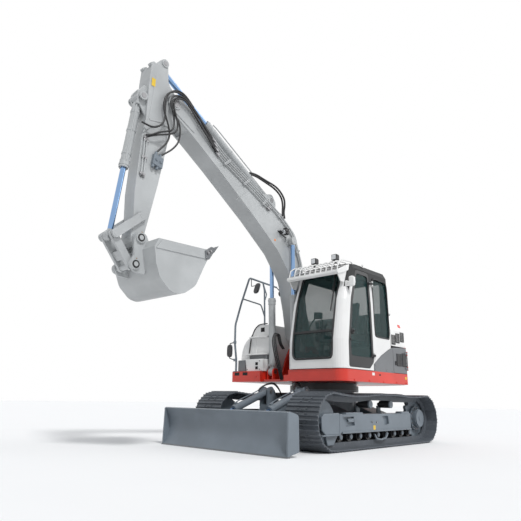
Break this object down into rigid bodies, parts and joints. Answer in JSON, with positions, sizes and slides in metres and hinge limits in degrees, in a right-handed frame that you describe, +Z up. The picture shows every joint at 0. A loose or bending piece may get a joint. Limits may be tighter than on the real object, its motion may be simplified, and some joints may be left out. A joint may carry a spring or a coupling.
{
  "type": "crawler excavator",
  "caption": "Short-tailed crawler excavator with a dozer blade, cab, cranked boom, arm and bucket worked by hydraulic cylinders.",
  "frame": {"origin": "on the ground under the slewing axis", "axes": "+X to the machine's front over the blade, +Y to its left, the cab's side, +Z up along the slewing axis"},
  "size_m": [6.4445, 2.59, 5.701],
  "materials": {
    "white_paint": "gloss",
    "pale_grey_paint": "gloss",
    "red_paint": "gloss",
    "slate_paint": "satin",
    "side_grey_paint": "satin",
    "black_paint": "satin",
    "black_plastic": "textured",
    "rod_chrome": "polished",
    "track_steel": "worn paint",
    "pin_steel": "machined",
    "engine_iron": "painted casting",
    "clear_glass": "tinted",
    "seat_cloth": "woven",
    "worn_steel": "scuffed by soil"
  },
  "bodies": {
    "undercarriage": {"car_body": "slate_paint", "slew_ring": "black_paint", "track_frame_left": "slate_paint", "track_frame_right": "slate_paint", "track_left": "track_steel", "track_right": "track_steel", "sprocket_left": "slate_paint", "sprocket_right": "slate_paint", "idlers": "slate_paint", "rollers": "black_paint", "blade_pins": "pin_steel"},
    "blade": {"dozer_blade": "slate_paint", "blade_edge": "worn_steel"},
    "blade_barrels": {"blade_barrels": "slate_paint"},
    "blade_rods": {"blade_rods": "rod_chrome"},
    "upper": {"upper_frame": "red_paint", "counterweight": "red_paint", "engine_block": "engine_iron", "left_panel": "side_grey_paint", "bulkhead": "black_paint", "right_house": "white_paint", "handrail": "black_paint", "cab_frame": "white_paint", "cab_glass": "clear_glass", "cab_seat": "seat_cloth", "upper_pins": "pin_steel"},
    "cab_door": {"cab_door": "black_paint", "door_glass": "clear_glass"},
    "hood": {"hood": "white_paint"},
    "service_door_left": {"service_door_left": "side_grey_paint"},
    "service_door_right": {"service_door_right": "side_grey_paint"},
    "boom": {"boom": "pale_grey_paint", "boom_pins": "pin_steel"},
    "boom_barrels": {"boom_barrels": "pale_grey_paint"},
    "boom_rods": {"boom_rods": "rod_chrome"},
    "arm_barrel": {"arm_barrel": "pale_grey_paint"},
    "arm_rod": {"arm_rod": "rod_chrome"},
    "arm": {"arm": "pale_grey_paint", "arm_pins": "pin_steel"},
    "bucket_barrel": {"bucket_barrel": "pale_grey_paint"},
    "bucket_rod": {"bucket_rod": "rod_chrome"},
    "idler_links": {"idler_links": "pale_grey_paint"},
    "push_link": {"push_link": "pale_grey_paint"},
    "bucket": {"bucket": "pale_grey_paint", "bucket_teeth": "worn_steel"}
  },
  "joints": [
    {"name": "upper_slew", "type": "hinge", "parent": "undercarriage", "child": "upper", "pos_m": [0, 0, 0.964], "axis": [0, 0, 1], "continuous": true},
    {"name": "boom_lift", "type": "hinge", "parent": "upper", "child": "boom", "pos_m": [0.448, -0.17, 1.525], "axis": [0, -1, 0], "range_deg": [-82, 14]},
    {"name": "boom_barrel_turn", "type": "hinge", "parent": "upper", "child": "boom_barrels", "pos_m": [0.953, -0.17, 1.184], "axis": [0, -1, 0], "range_deg": [-82.71, 14.16]},
    {"name": "boom_rod_slide", "type": "slide", "parent": "boom_barrels", "child": "boom_rods", "axis": [0.0288, 0, 0.9996], "range_m": [-0.80768, 0.13831]},
    {"name": "arm_swing", "type": "hinge", "parent": "boom", "child": "arm", "pos_m": [3.741, -0.17, 5.022], "axis": [0, 1, 0], "range_deg": [-94, 20]},
    {"name": "arm_barrel_turn", "type": "hinge", "parent": "boom", "child": "arm_barrel", "pos_m": [1.42837, -0.17, 4.18962], "axis": [0, 1, 0], "range_deg": [-5.37, 1.18]},
    {"name": "arm_rod_slide", "type": "slide", "parent": "arm_barrel", "child": "arm_rod", "axis": [0.8697, 0, 0.4935], "range_m": [-0.8927, 0.19033]},
    {"name": "bucket_curl", "type": "hinge", "parent": "arm", "child": "bucket", "pos_m": [4.188, -0.17, 2.766], "axis": [0, 1, 0], "range_deg": [-125, 25]},
    {"name": "idler_link_turn", "type": "hinge", "parent": "arm", "child": "idler_links", "pos_m": [4.15352, -0.17, 3.09952], "axis": [0, 1, 0], "range_deg": [-88.76, 17.79]},
    {"name": "push_link_turn", "type": "hinge", "parent": "idler_links", "child": "push_link", "pos_m": [4.53279, -0.17, 2.75975], "axis": [0, 1, 0], "range_deg": [-9.41, 46.84]},
    {"name": "bucket_barrel_turn", "type": "hinge", "parent": "arm", "child": "bucket_barrel", "pos_m": [4.28758, -0.17, 4.91316], "axis": [0, 1, 0], "range_deg": [-5.71, 1.18]},
    {"name": "bucket_rod_slide", "type": "slide", "parent": "bucket_barrel", "child": "bucket_rod", "axis": [0.1131, 0, -0.9936], "range_m": [-0.67915, 0.13623]},
    {"name": "blade_lift", "type": "hinge", "parent": "undercarriage", "child": "blade", "pos_m": [1.33, 0, 0.33], "axis": [0, -1, 0], "range_deg": [-23, 20]},
    {"name": "blade_barrel_turn", "type": "hinge", "parent": "undercarriage", "child": "blade_barrels", "pos_m": [1.14, 0, 0.845], "axis": [0, -1, 0], "range_deg": [-16.04, 13.96]},
    {"name": "blade_rod_slide", "type": "slide", "parent": "blade_barrels", "child": "blade_rods", "axis": [0.9372, 0, -0.3488], "range_m": [-0.14292, 0.16428]},
    {"name": "cab_door_swing", "type": "hinge", "parent": "upper", "child": "cab_door", "pos_m": [0.29, 1.25, 1.5], "axis": [0, 0, 1], "range_deg": [0, 150]},
    {"name": "hood_lift", "type": "hinge", "parent": "upper", "child": "hood", "pos_m": [-0.371, 0, 2.252], "axis": [0, 1, 0], "range_deg": [0, 50]},
    {"name": "service_door_left_swing", "type": "hinge", "parent": "upper", "child": "service_door_left", "pos_m": [-0.863, 1.239, 1.4], "axis": [0, 0, 1], "range_deg": [0, 75]},
    {"name": "service_door_right_swing", "type": "hinge", "parent": "upper", "child": "service_door_right", "pos_m": [-0.863, -1.239, 1.4], "axis": [0, 0, -1], "range_deg": [0, 75]}
  ],
  "couplings": [
    {"joint": "boom_barrel_turn", "follows": "boom_lift", "ratio": 1.008},
    {"joint": "boom_rod_slide", "follows": "boom_lift", "m_per_rad": 0.564},
    {"joint": "arm_barrel_turn", "follows": "arm_swing", "ratio": 0.0566},
    {"joint": "arm_rod_slide", "follows": "arm_swing", "m_per_rad": 0.54382},
    {"joint": "idler_link_turn", "follows": "bucket_curl", "ratio": 0.70965},
    {"joint": "push_link_turn", "follows": "bucket_curl", "ratio": -0.37435},
    {"joint": "bucket_barrel_turn", "follows": "bucket_curl", "ratio": 0.0453},
    {"joint": "bucket_rod_slide", "follows": "bucket_curl", "m_per_rad": 0.31107},
    {"joint": "blade_barrel_turn", "follows": "blade_lift", "ratio": 0.6954},
    {"joint": "blade_rod_slide", "follows": "blade_lift", "m_per_rad": -0.40799}
  ]
}
